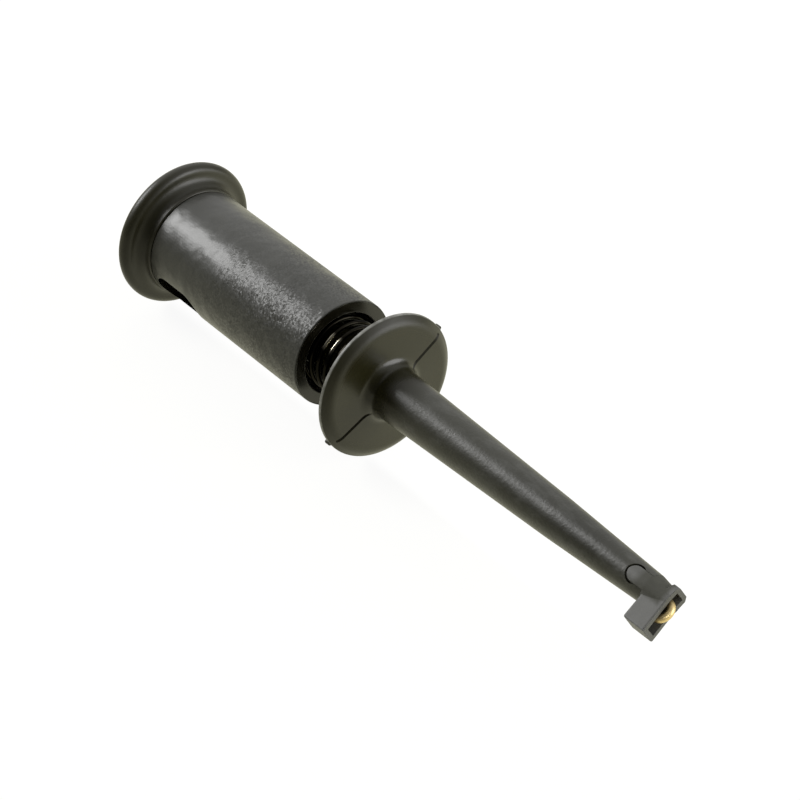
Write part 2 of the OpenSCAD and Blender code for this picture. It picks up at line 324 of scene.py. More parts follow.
# %% Sums and places
def number_step(tree, operation, first, second):
    """One sum with two number sockets."""
    node = tree.nodes.new("ShaderNodeMath")
    node.operation = operation
    tree.links.new(first, node.inputs[0])
    tree.links.new(second, node.inputs[1])
    return node.outputs["Value"]


def product(tree, first, second):
    """Two values multiplied."""
    return number_step(tree, "MULTIPLY", first, second)


def added(tree, first, second):
    """Two values added."""
    return number_step(tree, "ADD", first, second)


def either(tree, first, second):
    """The larger of two values."""
    return number_step(tree, "MAXIMUM", first, second)


def vector_step(tree, operation, first, second=None):
    """One sum with a vector socket and, if it needs one, a second socket or a fixed vector."""
    node = tree.nodes.new("ShaderNodeVectorMath")
    node.operation = operation
    tree.links.new(first, node.inputs[0])
    if isinstance(second, bpy.types.NodeSocket):
        tree.links.new(second, node.inputs[1])
    elif second is not None:
        node.inputs[1].default_value = second
    gives_number = operation in ("LENGTH", "DISTANCE", "DOT_PRODUCT")
    return node.outputs["Value" if gives_number else "Vector"]


def off_axis(tree, place):
    """Distance of a point from the clip's axis."""
    across = vector_step(tree, "MULTIPLY", vector_step(tree, "SUBTRACT", place, AXIS), (0, 1, 1))
    return vector_step(tree, "LENGTH", across)


def off_axis_towards(tree, place, way):
    """How far a point lies from the clip's axis in one direction across it."""
    return vector_step(tree, "DOT_PRODUCT", vector_step(tree, "SUBTRACT", place, AXIS), way)


def from_to(tree, place, start, end):
    """A ramp from 0 to 1 between two places along the clip, in millimetres from its rear face."""
    apart = tree.nodes.new("ShaderNodeSeparateXYZ")
    tree.links.new(place, apart.inputs["Vector"])
    return spread(tree, apart.outputs["X"], AXIS.x + start * MM, AXIS.x + end * MM, 0.0, 1.0)


def ramp(tree, length, start, end):
    """A ramp from 0 to 1 between two values of a length, in millimetres."""
    return spread(tree, length, start * MM, end * MM, 0.0, 1.0)


def stretched(tree, place, times):
    """Coordinates that make a pattern some times longer along the clip."""
    mapping = tree.nodes.new("ShaderNodeMapping")
    mapping.inputs["Scale"].default_value = (1 / times, 1, 1)
    tree.links.new(place, mapping.inputs["Vector"])
    return mapping.outputs["Vector"]


# %% [markdown]
# The cap is a plain glossy moulding. The shoe at the tip is dull: its neck is still olive-black and its
# foot is rubbed grey. Its front face is grey, partly worn and partly painted light where light from the
# front falls, and the rear end of its blade is painted grey as a painted highlight. The toe of the foot,
# which meets every board first, is worn pale. The wear could be painted by hand. Ramps along and across
# the clip do it without a picture, and they put it where the shoe rubs and where the light is painted.

# %% Cap and shoe finishes
# The front face is partly worn and partly painted light; the blade's rear end is a painted highlight.
SHOE_FACE_WORN_AND_LIT = (56.1, 56.4)
BLADE_END_HIGHLIGHT = (54.1, 53.5)
FOOT_ROOT = (0.527, 0.877)
FOOT_TOE = (2.527, 2.657)


def glossy_plastic(name, dark, light, gloss):
    """Black moulded plastic: clouded colour and gloss, with a fine grain in its skin."""
    material, tree, shader, place = new_finish(name)
    cloud = noise(tree, place, 2.2, detail=4.0)
    tree.links.new(blend_colours(tree, cloud, dark, light), shader.inputs["Base Color"])
    tree.links.new(spread(tree, cloud, 0.3, 0.7, *gloss), shader.inputs["Roughness"])
    grain = noise(tree, place, 0.4, detail=2.0)
    tree.links.new(bump(tree, grain, 0.004), shader.inputs["Normal"])
    return material


def tip_plastic(name):
    """Dull plastic, olive on the neck, rubbed grey on the foot, pale at its toe, with painted light on its
    front face and blade end.
    """
    material, tree, shader, place = new_finish(name)
    cloud = noise(tree, place, 0.7, detail=4.0)
    reach = off_axis_towards(tree, place, FOOT_WAY)
    # The front face and the blade's rear end are painted grey: painted light there, partly wear on the
    # face.
    worn_and_lit_ends = either(tree, from_to(tree, place, *BLADE_END_HIGHLIGHT), from_to(tree, place, *SHOE_FACE_WORN_AND_LIT))
    rubbed = either(tree, ramp(tree, reach, *FOOT_ROOT), worn_and_lit_ends)
    olive = blend_colours(tree, cloud, (0.037, 0.037, 0.027), (0.065, 0.064, 0.050))
    grey = blend_colours(tree, cloud, (0.074, 0.074, 0.067), (0.108, 0.108, 0.098))
    pale = blend_colours(tree, cloud, (0.110, 0.111, 0.112), (0.170, 0.172, 0.174))
    handled = mixed_colours(tree, rubbed, olive, grey)
    worn = mixed_colours(tree, ramp(tree, reach, *FOOT_TOE), handled, pale)
    tree.links.new(worn, shader.inputs["Base Color"])
    tree.links.new(spread(tree, rubbed, 0, 1, 0.70, 0.52), shader.inputs["Roughness"])
    grain = noise(tree, place, 0.2, detail=2.0)
    tree.links.new(bump(tree, grain, 0.006), shader.inputs["Normal"])
    return material


CAP_FINISH = glossy_plastic("glossy_black_cap", (0.015, 0.014, 0.005), (0.024, 0.022, 0.009), (0.32, 0.44))
SHOE_FINISH = tip_plastic("dull_grey_shoe")
print("finishes:", CAP_FINISH.name, SHOE_FINISH.name)

# %% [markdown]
# The nose came out of one mould with two surfaces. Its flange and root are polished, apart from the
# rolled rim, which is dulled by lying on benches and carries a pale painted highlight line along its
# edge, broken in scuff-like patches. Its finger is satin with a fine grain, greyed by handling behind
# and near the tip, and has long faint smudges. Two materials would meet in a hard line, so it is one:
# ramps along the clip lead from one surface to the other, and the distance from the axis finds the rim.

# %% Nose finish
FLANGE_R = 5.645
POLISH_ENDS = (27.4, 29.4)
FINGER_STARTS = (28.3, 30.2)
CLEAN_STARTS = (36, 48)
TIP_RUBBED = (50, 53)
RIM_DULLED = (4.5, 5.1)
# The rim's pale edge line is a painted highlight, laid between these distances from the axis.
RIM_HIGHLIGHT_IN = (FLANGE_R - 0.06, FLANGE_R - 0.02)
RIM_HIGHLIGHT_OUT = (FLANGE_R + 0.02, FLANGE_R + 0.005)


def finger_colours(tree, place, cloud):
    """Greyed near the flange, darker further on, with long pale smudges."""
    rubbed = blend_colours(tree, cloud, (0.031, 0.031, 0.021), (0.043, 0.042, 0.030))
    clean = blend_colours(tree, cloud, (0.019, 0.019, 0.012), (0.027, 0.026, 0.018))
    pale = blend_colours(tree, cloud, (0.070, 0.070, 0.060), (0.090, 0.090, 0.080))
    kept = spread(tree, from_to(tree, place, *TIP_RUBBED), 0, 1, 1.0, 0.3)
    untouched = product(tree, from_to(tree, place, *CLEAN_STARTS), kept)
    handled = mixed_colours(tree, untouched, rubbed, clean)
    streaks = noise(tree, stretched(tree, place, 2.5), 0.8, detail=4.0)
    return mixed_colours(tree, spread(tree, streaks, 0.48, 0.68, 0.0, 0.5), handled, pale)


def nose_plastic(name):
    """Olive-black plastic, glossy on the flange, satin on the finger, with a painted highlight line along
    the rim.
    """
    material, tree, shader, place = new_finish(name)
    cloud = noise(tree, place, 2.2, detail=4.0)
    finger = from_to(tree, place, *FINGER_STARTS)
    out = off_axis(tree, place)
    flange_colour = blend_colours(tree, cloud, (0.015, 0.014, 0.004), (0.022, 0.020, 0.007))
    moulded = mixed_colours(tree, finger, flange_colour, finger_colours(tree, place, cloud))
    # A pale line painted along the rim's edge in scuff-like patches: a painted highlight.
    rim = product(tree, ramp(tree, out, *RIM_HIGHLIGHT_IN), ramp(tree, out, *RIM_HIGHLIGHT_OUT))
    patches = spread(tree, noise(tree, place, 0.9, detail=4.0), 0.35, 0.6, 0.25, 1.0)
    rim_highlight_colour = blend_colours(tree, cloud, (0.20, 0.20, 0.18), (0.32, 0.32, 0.29))
    with_rim_highlight = mixed_colours(tree, product(tree, rim, patches), moulded, rim_highlight_colour)
    tree.links.new(with_rim_highlight, shader.inputs["Base Color"])
    satin = spread(tree, from_to(tree, place, *POLISH_ENDS), 0, 1, 0.25, 0.40)
    dulled = spread(tree, ramp(tree, out, *RIM_DULLED), 0, 1, 0.0, 0.17)
    tree.links.new(added(tree, satin, dulled), shader.inputs["Roughness"])
    grain = product(tree, noise(tree, place, 0.25, detail=3.0), spread(tree, finger, 0, 1, 0.1, 1.0))
    waves = bump(tree, noise(tree, place, 2.0, detail=2.0), 0.015)
    tree.links.new(bump(tree, grain, 0.02, waves), shader.inputs["Normal"])
    return material


NOSE_FINISH = nose_plastic("olive_black_nose")
print("finish:", NOSE_FINISH.name)

# %% [markdown]
# The barrel is where the fingers hold the clip. Its skin has greyed, and towards the mouth it is rubbed
# to a sparkle of tiny flats: the cells of a Voronoi pattern, each of which tilts the normal its own way,
# so that a highlight breaks up in grains there and stays soft near the cap. The face of the mouth isn't
# handled. It is black and glossy, and it mirrors the dark flange above and the white sheet below. The
# bore behind it is painted a lighter grey: painted light in the dark bore.

# %% Barrel finish
BARREL_R = radius("plunger_barrel")
BORE_R = 3.25
SPARKLE_STARTS = (6, 13)
FLAT_SIZE = 0.12
OUTSIDE = (BARREL_R - 0.12, BARREL_R - 0.04)
# Inside the bore the colour turns lighter: painted light in the dark bore.
BORE_PAINTED_LIGHT = (BORE_R + 0.12, BORE_R + 0.04)


def sparkling(tree, place, normal, strength):
    """Tilt the normal at random on tiny flats, by a strength."""
    flats = tree.nodes.new("ShaderNodeTexVoronoi")
    flats.inputs["Scale"].default_value = 1 / (FLAT_SIZE * MM)
    tree.links.new(place, flats.inputs["Vector"])
    centred = vector_step(tree, "SUBTRACT", flats.outputs["Color"], (0.5, 0.5, 0.5))
    tilt = vector_step(tree, "MULTIPLY", centred, strength)
    return vector_step(tree, "NORMALIZE", vector_step(tree, "ADD", normal, tilt))


def scuffed_plastic(name):
    """Plastic that has greyed on the outside and is rubbed in patches."""
    material, tree, shader, place = new_finish(name)
    out = off_axis(tree, place)
    outside = ramp(tree, out, *OUTSIDE)
    cloud = noise(tree, place, 3.2, detail=3.0)
    grey = blend_colours(tree, cloud, (0.036, 0.036, 0.030), (0.054, 0.054, 0.046))
    # The bore's lighter colour is painted light standing in for light inside the dark bore.
    black_face_and_lit_bore = blend_colours(tree, ramp(tree, out, *BORE_PAINTED_LIGHT), (0.010, 0.009, 0.005), (0.120, 0.114, 0.095))
    tree.links.new(mixed_colours(tree, outside, black_face_and_lit_bore, grey), shader.inputs["Base Color"])
    patches = spread(tree, noise(tree, place, 3.5, detail=2.0), 0.35, 0.6, 0.35, 1.0)
    towards_mouth = spread(tree, from_to(tree, place, *SPARKLE_STARTS), 0, 1, 0.15, 1.0)
    rubbed = product(tree, patches, towards_mouth)
    dulled = spread(tree, outside, 0, 1, -0.12, 0.12)
    tree.links.new(added(tree, spread(tree, rubbed, 0, 1, 0.22, 0.29), dulled), shader.inputs["Roughness"])
    waves = bump(tree, product(tree, noise(tree, place, 2.2, detail=2.0), outside), 0.14)
    strength = spread(tree, product(tree, rubbed, outside), 0, 1, 0.0, 0.30)
    tree.links.new(sparkling(tree, place, waves, strength), shader.inputs["Normal"])
    return material


BARREL_FINISH = scuffed_plastic("scuffed_black_barrel")
print("finish:", BARREL_FINISH.name)

# %% [markdown]
# The metal pieces are small: drawn wire with faint die lines along it, and a turned terminal. A noise
# that is stretched along the clip gives the lines, and the gloss varies with it. The spring is dark and
# oiled. On the upper side of the coils just outside the barrel's mouth a pale metal colour is painted in
# as a painted glint, so that two of them glint there.

# %% Metal finishes
MOUTH = along("plunger_barrel")[1]
# Where the glint is painted on the spring: along the clip, to either side of the axis and above it.
GLINT_FROM = (MOUTH, MOUTH + 0.2)
GLINT_TO = (MOUTH + 1.7, MOUTH + 1.4)
GLINT_HEEL_SIDE = (-0.4, 0.0)
GLINT_FOOT_SIDE = (1.1, 0.7)
GLINT_ABOVE = (1.5, 2.0)


def painted_coil_glint(tree, place):
    """1 where a glint is painted on the upper side of the coils in the mouth, 0 elsewhere."""
    coils = product(tree, from_to(tree, place, *GLINT_FROM), from_to(tree, place, *GLINT_TO))
    aside = off_axis_towards(tree, place, FOOT_WAY)
    patch = product(tree, ramp(tree, aside, *GLINT_HEEL_SIDE), ramp(tree, aside, *GLINT_FOOT_SIDE))
    above = ramp(tree, off_axis_towards(tree, place, UPPER_WAY), *GLINT_ABOVE)
    return product(tree, product(tree, coils, patch), above)


def drawn_metal(name, dark, light, gloss, line_mm, stretch, line_depth_mm, glint_colours=None):
    """Metal with fine lines along the clip, which may carry a painted glint in two pale tones on the coils
    in the mouth.
    """
    material, tree, shader, place = new_finish(name)
    shader.inputs["Metallic"].default_value = 1.0
    lines = noise(tree, stretched(tree, place, stretch), line_mm, detail=3.0)
    colour = blend_colours(tree, lines, dark, light)
    if glint_colours is not None:
        colour = mixed_colours(tree, painted_coil_glint(tree, place), colour, blend_colours(tree, lines, *glint_colours))
    tree.links.new(colour, shader.inputs["Base Color"])
    tree.links.new(spread(tree, lines, 0.3, 0.7, *gloss), shader.inputs["Roughness"])
    tree.links.new(bump(tree, lines, line_depth_mm), shader.inputs["Normal"])
    return material


GOLD_FINISH = drawn_metal("gold_plated_wire", (0.67, 0.50, 0.23), (0.77, 0.63, 0.34),
                          gloss=(0.4, 0.5), line_mm=0.12, stretch=6, line_depth_mm=0.003)
# The two pale tones given below are a painted glint on the coils in the barrel's mouth.
SPRING_FINISH = drawn_metal("dark_spring_wire", (0.009, 0.008, 0.006), (0.020, 0.018, 0.013),
                            gloss=(0.12, 0.18), line_mm=0.15, stretch=2, line_depth_mm=0.003,
                            glint_colours=((0.55, 0.51, 0.39), (0.72, 0.67, 0.52)))
BRASS_FINISH = drawn_metal("turned_brass", (0.55, 0.40, 0.17), (0.74, 0.57, 0.28),
                           gloss=(0.25, 0.4), line_mm=0.1, stretch=0.3, line_depth_mm=0.002)
print("finishes:", GOLD_FINISH.name, SPRING_FINISH.name, BRASS_FINISH.name)

# %% [markdown]
# ## Thumb cap
# The cap is one round moulding: a flange with a full, rounded rim, a cove, and a collar with a small
# bead where it meets the barrel. In front of the seam a hollow spigot goes into the barrel. All of that
# is one outline, so the lathe makes it in one go. `hand_over` then gives the piece its finish, hides the
# plain solid that it stands for, and hangs it on the body that it rides on.

# %% Turn the thumb cap
CAP_R = radius("thumb_cap")
CAP_RIM = 1.2
CAP_END = 2.3
COLLAR_R = 4.23
CAP_RIM_ROUND, COVE_ROUND, BEAD_ROUND = 0.57, 0.78, 0.12
SPIGOT_R = 3.23
SPIGOT_WALL = 0.6
SPIGOT_ROUND = 0.08
SPIGOT_END = along("thumb_cap")[1]


def hand_over(piece, node, body, finish):
    """Give a piece its finish, hide the CAD node that it stands for, and let it ride on its body."""
    piece.data.materials.clear()
    piece.data.materials.append(finish)
    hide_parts(node)
    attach(piece, body)


cap = turned_piece("cap", [
    (0, 0, 0),
    (CAP_R, 0, CAP_RIM_ROUND),
    (CAP_R, CAP_RIM, CAP_RIM_ROUND),
    (COLLAR_R, CAP_RIM, COVE_ROUND),
    (COLLAR_R, CAP_END, BEAD_ROUND),
    (SPIGOT_R, CAP_END, 0),
    (SPIGOT_R, SPIGOT_END, SPIGOT_ROUND),
    (SPIGOT_R - SPIGOT_WALL, SPIGOT_END, SPIGOT_ROUND),
    (SPIGOT_R - SPIGOT_WALL, CAP_END, 0),
    (0, CAP_END, 0),
], closed=False)
smooth_shading(cap)
lay_down(cap)
hand_over(cap, "thumb_cap", "plunger", CAP_FINISH)

# %% [markdown]
# ## Barrel
# The barrel is a tube with a web inside it. The web carries the wire's terminal, and a hub in front of
# it guides the nose. Tubes could be joined by Booleans, but that leaves seams inside, which a moulding
# doesn't have. So one outline goes once round the whole section.

# %% Turn the barrel
BARREL_REAR = along("plunger_barrel")[0]
BARREL_DRAFT = 0.05
WEB_REAR, WEB_FRONT = along("hook_contact")[0], along("hook_terminal")[1]
WEB_HOLE_R = 0.92
GUIDE_LEN = 4.0
HUB_R, HUB_BORE_R, HUB_END = 2.21, 1.79, along("nose_body")[0] + GUIDE_LEN
SEAM_ROUND, LIP_ROUND, INNER_ROUND = 0.14, 0.12, 0.1

barrel = turned_piece("barrel", [
    (BARREL_R - BARREL_DRAFT, BARREL_REAR, SEAM_ROUND),
    (BARREL_R, MOUTH, LIP_ROUND),
    (BORE_R, MOUTH, LIP_ROUND),
    (BORE_R, WEB_FRONT, INNER_ROUND),
    (HUB_R, WEB_FRONT, INNER_ROUND),
    (HUB_R, HUB_END, INNER_ROUND),
    (HUB_BORE_R, HUB_END, INNER_ROUND),
    (HUB_BORE_R, WEB_FRONT, 0),
    (WEB_HOLE_R, WEB_FRONT, 0),
    (WEB_HOLE_R, WEB_REAR, 0),
    (BORE_R, WEB_REAR, INNER_ROUND),
    (BORE_R, BARREL_REAR, 0),
])
print("barrel from", round(BARREL_REAR, 2), "to", round(MOUTH, 2), "mm")

# %% [markdown]
# The oval lead slot is cut through the wall near the cap, on the foot's side. Its cutter is a block
# whose two ends are rounded by a wide bevel on four of its edges. It is cut after the spin, so that its
# sides go straight through the curved wall, as the core of a mould leaves them.

# %% Cut the lead slot
SLOT_W, SLOT_REAR, SLOT_FRONT = 2.8, BARREL_REAR + 0.35, BARREL_REAR + 5.3


def oval_cutter(name, width, rear, front, reach):
    """A bar with half-round ends that points from the axis towards the foot."""
    cutter = block(name, (0, -width / 2, rear), (reach, width / 2, front))
    pick(cutter, "EDGE", lambda at: abs(abs(at.y) - width / 2) < WELD and abs(at.x - reach / 2) < WELD)
    bpy.ops.mesh.bevel(offset=width / 2 - WELD, segments=20, affect="EDGES")
    bpy.ops.object.mode_set(mode="OBJECT")
    return cutter


carve(barrel, oval_cutter("lead_slot_cutter", SLOT_W, SLOT_REAR, SLOT_FRONT, 2 * BARREL_R))
smooth_shading(barrel)
lay_down(barrel)
hand_over(barrel, "plunger_barrel", "plunger", BARREL_FINISH)

# %% [markdown]
# ## Nose with its finger flange
# The nose is the longest moulding: a guide stem that is hidden in the barrel, a thin finger flange like
# a flat saucer, and a long tapered finger. The flange rolls down to a thin rim and meets the finger in a
# small fillet, and the finger's taper changes at a soft knee. The wire's bore goes right through, so the
# outline is closed and never meets the axis.

# %% Turn the nose
STEM_R, STEM_REAR, STEM_ROUND = 1.71, along("nose_body")[0], 0.15
SEAT_R, SEAT, SEAT_ROUND = 3.25, 25.15, 0.1
RIM_REAR = 24.85
RIM_START, RIM_END, RIM_EDGE = RIM_REAR + 0.17, RIM_REAR + 0.4, 0.05
SHOULDER_R, SHOULDER, SHOULDER_ROUND = 5.05, RIM_REAR + 0.92, 1.0
ROOT_R, ROOT, ROOT_FILLET = 2.0, RIM_REAR + 1.06, 0.85
KNEE_R, KNEE, KNEE_ROUND = 1.55, 44.7, 30.0
TIP_R, NOSE_END = 1.18, 54.6
WIRE_BORE_R = 0.4

nose = turned_piece("nose", [
    (STEM_R, STEM_REAR, STEM_ROUND),
    (STEM_R, SEAT, SEAT_ROUND),
    (SEAT_R, SEAT, SEAT_ROUND),
    (FLANGE_R, RIM_START, RIM_EDGE),
    (FLANGE_R, RIM_END, RIM_EDGE),
    (SHOULDER_R, SHOULDER, SHOULDER_ROUND),
    (ROOT_R, ROOT, ROOT_FILLET),
    (KNEE_R, KNEE, KNEE_ROUND),
    (TIP_R, NOSE_END, 0),
    (WIRE_BORE_R, NOSE_END, 0),
    (WIRE_BORE_R, STEM_REAR, 0),
])
print("nose from", round(STEM_REAR, 2), "to", NOSE_END, "mm")

# %% [markdown]
# Two moulding halves meet in the plane of the foot. On the flange this shows as a fine dark line on each
# side, from the fillet to a small nub on the rim. A thin cutter could make it, but the lathe has left a
# row of vertices exactly in that plane. Two bisects beside it give the line its width, and the row
# itself is pushed in.

# %% Parting lines and nubs
LINE_HALF = 0.13
LINE_DEPTH = 0.13
LINE_INNER, LINE_OUTER = 2.1, 5.3
FLANGE_FRONT = RIM_REAR + 0.5
NUB_R, NUB_OUT, NUB_H, NUB_BEVEL = 0.2, 0.155, 0.42, 0.07
NUB_REAR_STEP = 0.02
NUB_MIDDLE = RIM_REAR + NUB_H / 2 + NUB_REAR_STEP


def on_flange_front(at):
    """True on the front of the flange, between the fillet and the rim."""
    return at.z > FLANGE_FRONT and LINE_INNER < math.hypot(at.x, at.y) < LINE_OUTER


for side in (-1, 1):
    pick(nose, "FACE", on_flange_front)
    bpy.ops.mesh.bisect(plane_co=(0, side * LINE_HALF, 0), plane_no=(0, 1, 0))
    bpy.ops.object.mode_set(mode="OBJECT")
pick(nose, "VERT", lambda at: abs(at.y) < WELD and on_flange_front(at))
bpy.ops.transform.translate(value=(0, 0, -LINE_DEPTH))
bpy.ops.object.mode_set(mode="OBJECT")

for side in (-1, 1):
    bpy.ops.object.select_all(action="DESELECT")
    bpy.ops.mesh.primitive_cylinder_add(vertices=32, radius=NUB_R, depth=NUB_H,
                                        location=(side * (FLANGE_R + NUB_OUT - NUB_R), 0, NUB_MIDDLE))
    nub = bpy.context.object
    bpy.ops.object.mode_set(mode="EDIT")
    bpy.ops.mesh.select_all(action="SELECT")
    bpy.ops.mesh.bevel(offset=NUB_BEVEL, segments=3, affect="EDGES", clamp_overlap=True)
    bpy.ops.object.mode_set(mode="OBJECT")
    carve(nose, nub, "UNION")
print("nose has", len(nose.data.polygons), "faces with its parting lines and nubs")

# %% [markdown]
# The tip of the nose is a fork: a notch goes across it, with a round inner end, and the shoe's blade sits
# in it with a narrow gap behind it and a hair's breadth beside it. One bar with a half-round end is both
# the notch's cutter, grown by these gaps, and later the blade, so that the two always fit.

# %% Notch for the shoe
BLADE_W, BLADE_LEN, BLADE_GAP, BLADE_FIT = 1.2, 1.8, 0.15, 0.02
BAR_HALF = 2
PAST_END = 1


def blade_bar(name, end_gap, side_gap):
    """The blade across the nose, with its round end to the rear, grown by gaps."""
    half = BLADE_W / 2 + side_gap
    round_z = NOSE_END - BLADE_LEN + BLADE_W / 2
    bar = block(name, (-half, -BAR_HALF, round_z), (half, BAR_HALF, NOSE_END + PAST_END))
    bpy.ops.mesh.primitive_cylinder_add(vertices=64, radius=BLADE_W / 2 + end_gap, depth=2 * BAR_HALF,
                                        location=(0, 0, round_z), rotation=(math.pi / 2, 0, 0))
    carve(bar, bpy.context.object, "UNION")
    return bar


carve(nose, blade_bar("notch_cutter", BLADE_GAP, BLADE_FIT))
smooth_shading(nose)
lay_down(nose)
hand_over(nose, "nose_body", "nose", NOSE_FINISH)

# %% [markdown]
# ## Tip shoe
# The shoe closes the fork: its blade fills the notch, and in front of the nose it is a bar that reaches
# out to one side as the foot and to the other as a short heel. A block could be shaped to fit, but a
# cone that carries on the nose's taper stays flush with it. Of that cone only the blade and the neck in
# front of the nose are kept.

# %% Blade and neck
SHOE_REAR, SHOE_FRONT = along("tip_shoe")
CONE_REAR, CONE_R = SHOE_REAR - 0.2, 1.26
NECK_R = 0.86
KEEP_HALF = 3

shoe = turned_piece("shoe", [
    (0, CONE_REAR, 0),
    (CONE_R, CONE_REAR, 0),
    (TIP_R, NOSE_END, 0),
    (NECK_R, SHOE_FRONT, 0),
    (0, SHOE_FRONT, 0),
], closed=False)
keep = blade_bar("blade", 0, 0)
front = block("front", (-KEEP_HALF, -KEEP_HALF, NOSE_END), (KEEP_HALF, KEEP_HALF, SHOE_FRONT + PAST_END))
carve(keep, front, "UNION")
carve(shoe, keep, "INTERSECT")
print("blade and neck have", len(shoe.data.polygons), "faces")

# %% [markdown]
# The foot is a block with a slanted rear and a front that flares a little. Slanted cutters could shape
# it, but moving two pairs of vertices is simpler. The heel is a block with two chamfered corners. A slot
# along the bar takes the hook, and the wire's bore comes through from behind.

# %% Foot, heel and slot
FOOT_REACH, FOOT_T, FOOT_SLANT, FOOT_FLARE, FOOT_BEVEL = 2.7, 1.68, 0.18, 0.28, 0.13
HEEL_REACH, HEEL_LEN, HEEL_CHAMFER = 1.12, 0.62, 0.3
SLOT_HALF, SLOT_HEEL, SLOT_END, SLOT_FLOOR = 0.45, 0.76, 2.34, NOSE_END + 0.37
BORE_LEN, BORE_MIDDLE = 6, SHOE_REAR + 1

foot = block("foot", (0, -FOOT_T / 2, NOSE_END), (FOOT_REACH, FOOT_T / 2, SHOE_FRONT))
pick(foot, "VERT", lambda at: at.x > FOOT_REACH - WELD and at.z < NOSE_END + WELD)
bpy.ops.transform.translate(value=(0, 0, FOOT_SLANT))
bpy.ops.object.mode_set(mode="OBJECT")
pick(foot, "VERT", lambda at: at.x > FOOT_REACH - WELD and at.z > SHOE_FRONT - WELD)
bpy.ops.transform.translate(value=(0, 0, FOOT_FLARE))
bpy.ops.mesh.select_all(action="SELECT")
bpy.ops.mesh.bevel(offset=FOOT_BEVEL, segments=3, affect="EDGES")
bpy.ops.object.mode_set(mode="OBJECT")
carve(shoe, foot, "UNION")

heel = block("heel", (-HEEL_REACH, -FOOT_T / 2, SHOE_FRONT - HEEL_LEN), (0, FOOT_T / 2, SHOE_FRONT))
pick(heel, "EDGE", lambda at: at.x < -HEEL_REACH + WELD and abs(at.y) > FOOT_T / 2 - WELD)
bpy.ops.mesh.bevel(offset=HEEL_CHAMFER, segments=1, affect="EDGES")
bpy.ops.object.mode_set(mode="OBJECT")
carve(shoe, heel, "UNION")

hook_slot = block("hook_slot", (-SLOT_HEEL, -SLOT_HALF, SLOT_FLOOR),
                  (SLOT_END, SLOT_HALF, SHOE_FRONT + PAST_END))
carve(shoe, hook_slot)
bpy.ops.object.select_all(action="DESELECT")
bpy.ops.mesh.primitive_cylinder_add(vertices=48, radius=WIRE_BORE_R, depth=BORE_LEN,
                                    location=(0, 0, BORE_MIDDLE))
carve(shoe, bpy.context.object)
print("cut shoe has", len(shoe.data.polygons), "faces")

# %% [markdown]
# The shoe is small and was moulded in a worn tool, so its edges are soft. A fine voxel remesh with a
# little smoothing rounds every edge alike, which bevels can't do where so many cuts meet. The flat
# faces don't need so many triangles, and a decimation takes them out again.

# %% Soften the shoe
SHOE_VOXEL, SOFT_STEPS, FACES_KEPT = 0.032, 6, 0.4

only(shoe)
shoe.data.remesh_voxel_size = SHOE_VOXEL
bpy.ops.object.voxel_remesh()
soft = shoe.modifiers.new("Soften", "SMOOTH")
soft.iterations = SOFT_STEPS
bpy.ops.object.modifier_apply(modifier=soft.name)
fewer = shoe.modifiers.new("Fewer", "DECIMATE")
fewer.ratio = FACES_KEPT
bpy.ops.object.modifier_apply(modifier=fewer.name)
smooth_shading(shoe, 60)
lay_down(shoe)
hand_over(shoe, "tip_shoe", "nose", SHOE_FINISH)

# %% [markdown]
# ## Hook
# The hook is one wire. A curve with a round bevel could be bent to it, but a wire is easy to follow in
# steps: a disc is extruded along the axis, spun by half a turn round the middle of the bend, and
# extruded back into the shoe, where its end is scaled down to a blunt point.

# %% Bend the hook
WIRE_R, HOOK_PITCH = 0.3, 1.35
WIRE_SIDES, BEND_STEPS = 28, 32
WIRE_REAR, HOOK_FRONT = along("hook_contact")
BEND_R = HOOK_PITCH / 2
BEND_Z = HOOK_FRONT - WIRE_R - BEND_R
LEG_END, LEG_TAPER, POINT_SHARE = SLOT_FLOOR + 0.03, 0.2, 0.5

bpy.ops.object.select_all(action="DESELECT")
bpy.ops.mesh.primitive_circle_add(vertices=WIRE_SIDES, radius=WIRE_R, fill_type="NGON", location=(0, 0, 0))
hook = bpy.context.object
hook.name = "hook"
bpy.ops.object.mode_set(mode="EDIT")
bpy.ops.transform.translate(value=(0, 0, WIRE_REAR))
bpy.ops.mesh.extrude_region_move(TRANSFORM_OT_translate={"value": (0, 0, BEND_Z - WIRE_REAR)})
bpy.ops.mesh.spin(steps=BEND_STEPS, angle=math.pi, center=(BEND_R, 0, BEND_Z), axis=(0, -1, 0))
bpy.ops.mesh.extrude_region_move(TRANSFORM_OT_translate={"value": (0, 0, LEG_END + LEG_TAPER - BEND_Z)})
bpy.ops.mesh.extrude_region_move(TRANSFORM_OT_translate={"value": (0, 0, -LEG_TAPER)})
bpy.ops.transform.resize(value=(POINT_SHARE, POINT_SHARE, 1), center_override=(HOOK_PITCH, 0, LEG_END))
bpy.ops.mesh.select_all(action="SELECT")
bpy.ops.mesh.remove_doubles(threshold=WELD)
bpy.ops.mesh.normals_make_consistent(inside=False)
bpy.ops.object.mode_set(mode="OBJECT")
smooth_shading(hook, 40)
lay_down(hook)
hand_over(hook, "hook_contact", "plunger", GOLD_FINISH)

# %% [markdown]
# ## Terminal
# Behind the web a turned terminal holds the wire: a crimp barrel in the web, a flange that takes the
# spring's pull, and a solder cup for the lead. It can be seen through the lead slot. A real one comes
# off a lathe, so one outline makes it here too.

# %% Turn the terminal
TERM_R, TERM_FLANGE_R, TERM_FLANGE_T = 0.9, 1.4, 0.5
CUP_WALL, CRIMP_FIT = 0.3, 0.02
CUP_ROUND, END_ROUND, TERM_FLANGE_ROUND = 0.05, 0.08, 0.1
CUP_REAR = along("hook_terminal")[0]
CUP_FLOOR = WEB_REAR - TERM_FLANGE_T

